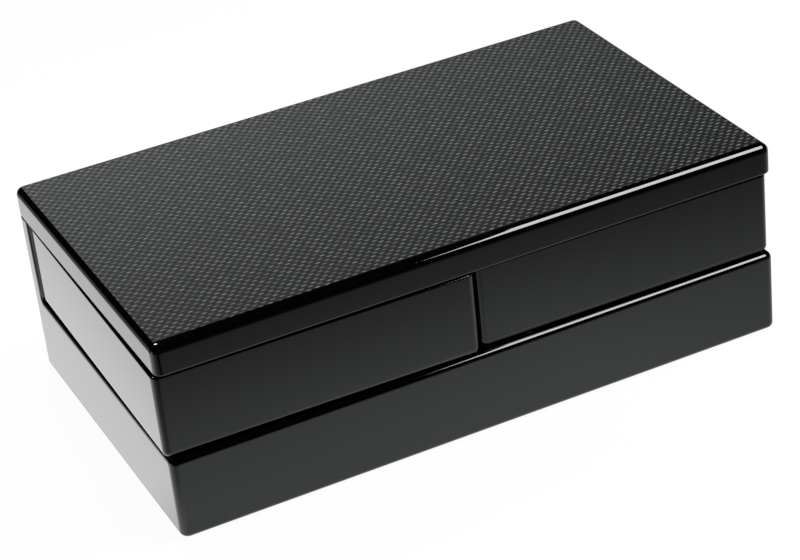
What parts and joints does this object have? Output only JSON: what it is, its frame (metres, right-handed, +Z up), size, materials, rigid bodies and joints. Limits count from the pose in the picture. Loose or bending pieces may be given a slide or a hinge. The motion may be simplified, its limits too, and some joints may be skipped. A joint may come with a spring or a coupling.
{
  "type": "keepsake box",
  "caption": "Low rectangular lacquered keepsake box with a carbon-look inlaid lid hinged at the back, swing-out trays pivoted in the rear corners and a lined compartment in the base.",
  "frame": {"origin": "on the underside of the felt pad that the box rests on, below the middle of the lid", "axes": "+X along the front to the right, +Y from the front to the hinged back, +Z up"},
  "size_m": [0.3011, 0.1781, 0.096],
  "materials": {
    "black_lacquer": "polished black lacquer on wood",
    "stained_plywood": "plywood stained black, matt",
    "carbon_inlay": "plain-weave carbon look under a smooth satin coat",
    "suede_lining": "short-nap suede, warm grey",
    "felt": "black felt",
    "brass": "turned brass",
    "nickel_steel": "nickel-plated steel",
    "rubber": "black rubber",
    "nylon": "black nylon"
  },
  "bodies": {
    "base": {"base_body": "black_lacquer", "bottom_panel": "stained_plywood", "felt_base_pad": "felt", "base_floor_pad": "suede_lining", "base_wall_lining": "suede_lining", "left_pivot_bolt": "nickel_steel", "right_pivot_bolt": "nickel_steel", "left_thrust_washer": "brass", "right_thrust_washer": "brass", "tray_stops": "rubber", "tray_glides": "nylon", "left_hinge_base_leaf": "nickel_steel", "right_hinge_base_leaf": "nickel_steel", "left_hinge_pin": "nickel_steel", "right_hinge_pin": "nickel_steel", "base_hinge_screws": "nickel_steel"},
    "lid": {"lid_panel": "black_lacquer", "carbon_inlay": "carbon_inlay", "lid_pad": "suede_lining", "left_hinge_lid_leaf": "nickel_steel", "right_hinge_lid_leaf": "nickel_steel", "lid_hinge_screws": "nickel_steel", "lid_bumpers": "rubber"},
    "left_tray": {"left_tray_shell": "black_lacquer", "left_tray_bottom": "stained_plywood", "left_tray_floor_pads": "suede_lining", "left_tray_wall_lining": "suede_lining", "left_pivot_bush": "brass", "left_tray_divider": "suede_lining"},
    "right_tray": {"right_tray_shell": "black_lacquer", "right_tray_bottom": "stained_plywood", "right_tray_floor_pads": "suede_lining", "right_tray_wall_lining": "suede_lining", "right_pivot_bush": "brass", "right_tray_long_divider": "suede_lining", "right_tray_cross_divider": "suede_lining"}
  },
  "joints": [
    {"name": "lid_hinge", "type": "hinge", "parent": "base", "child": "lid", "pos_m": [0, 0.0884, 0.08145], "axis": [-1, 0, 0], "range_deg": [0, 95]},
    {"name": "left_tray_swing", "type": "hinge", "parent": "base", "child": "left_tray", "pos_m": [-0.1416, 0.064, 0.0406], "axis": [0, 0, -1], "range_deg": [-0.25, 89.4]},
    {"name": "right_tray_swing", "type": "hinge", "parent": "base", "child": "right_tray", "pos_m": [0.1416, 0.064, 0.0406], "axis": [0, 0, 1], "range_deg": [0, 90]}
  ]
}
